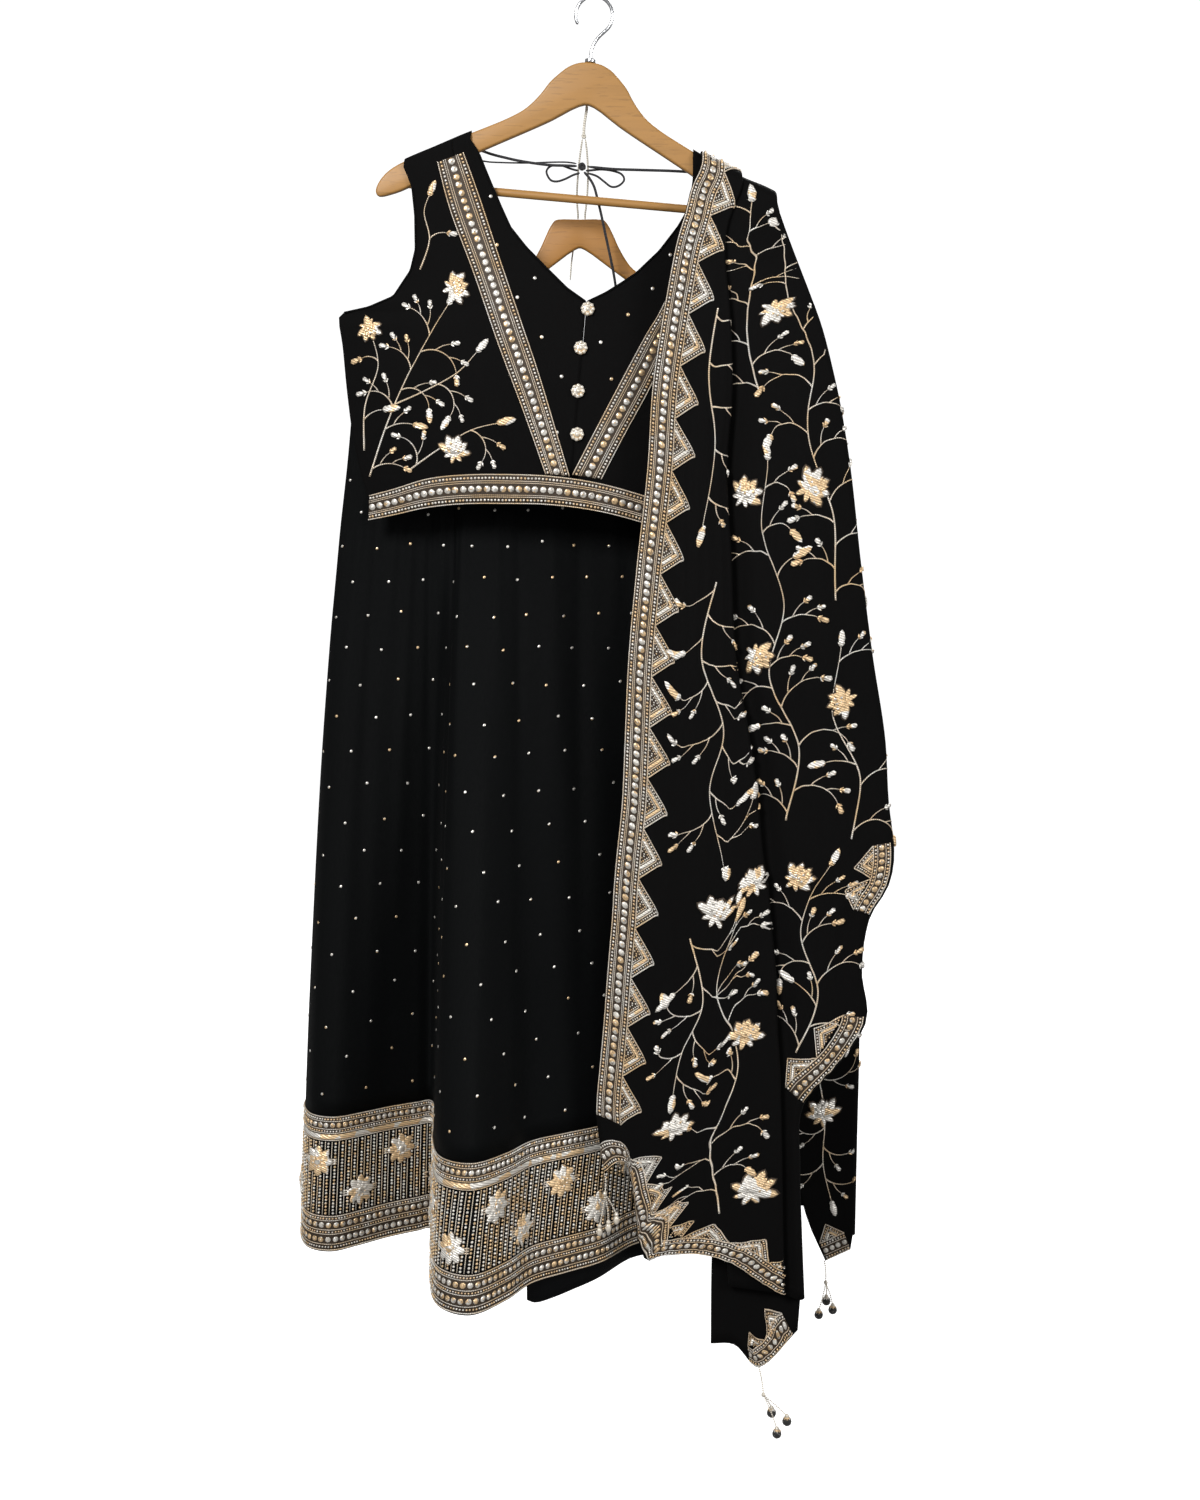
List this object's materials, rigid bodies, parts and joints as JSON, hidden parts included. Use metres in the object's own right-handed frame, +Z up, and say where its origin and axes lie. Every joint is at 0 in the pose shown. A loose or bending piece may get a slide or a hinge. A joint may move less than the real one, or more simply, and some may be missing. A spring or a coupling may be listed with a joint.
{
  "type": "lehenga set on wooden hangers",
  "caption": "Sleeveless bodice, full-length skirt and folded long scarf hung together on two wooden hangers, one below the other on string, with a steel hook on top.",
  "frame": {"origin": "inner top of the upper hanger's hook, where a rail would carry the whole set", "axes": "+Z up, the viewer looks along +Y at the front of the garments, +X to the viewer's right"},
  "size_m": [0.6777, 0.3534, 1.6061],
  "materials": {
    "black_cloth": "matt crepe",
    "skirt_cloth": "matt georgette",
    "lining_cloth": "smooth taffeta",
    "gold_trim": "beaded and corded",
    "upper_wood": "satin varnish",
    "lower_wood": "satin varnish",
    "steel": "polished",
    "black_cord": "twisted cord",
    "white_string": "cotton string",
    "beads": "pearl"
  },
  "bodies": {
    "root": {"upper_hanger": "upper_wood", "upper_hanger_bar": "upper_wood", "hook": "steel", "hook_collar": "steel", "lower_hanger": "lower_wood", "bodice_side_left": "black_cloth", "bodice_side_right": "black_cloth", "bodice_yoke_left": "black_cloth", "bodice_yoke_right": "black_cloth", "bodice_back_left": "black_cloth", "bodice_back_right": "black_cloth", "vee_trim_left": "gold_trim", "vee_trim_right": "gold_trim", "waist_band_front": "gold_trim", "waist_band_back": "gold_trim", "button_1": "beads", "button_2": "beads", "button_3": "beads", "button_4": "beads", "skirt_waistband": "skirt_cloth", "skirt_gore_1": "skirt_cloth", "skirt_gore_2": "skirt_cloth", "skirt_gore_3": "skirt_cloth", "skirt_gore_4": "skirt_cloth", "skirt_gore_5": "skirt_cloth", "skirt_gore_6": "skirt_cloth", "skirt_border_1": "gold_trim", "skirt_border_2": "gold_trim", "skirt_border_3": "gold_trim", "skirt_border_4": "gold_trim", "skirt_lining": "lining_cloth", "skirt_loop_left": "skirt_cloth", "skirt_loop_right": "skirt_cloth", "scarf_front": "black_cloth", "scarf_shoulder": "black_cloth", "scarf_back": "black_cloth", "scarf_border_long": "gold_trim", "scarf_border_front_hem": "gold_trim", "scarf_border_back_hem": "gold_trim", "scarf_border_low_corner": "gold_trim", "tie_left": "black_cord", "tie_right": "black_cord", "tie_bow_left": "black_cord", "tie_bow_right": "black_cord", "tie_tail": "black_cord", "tie_left_thin": "black_cord", "tie_knot": "black_cord", "string_upper": "white_string", "string_lower_left": "white_string", "string_lower_right": "white_string", "string_end": "white_string", "string_knot": "white_string", "tassel_front_left": "beads", "tassel_low": "beads", "tassel_back_right": "beads"}
  },
  "joints": []
}
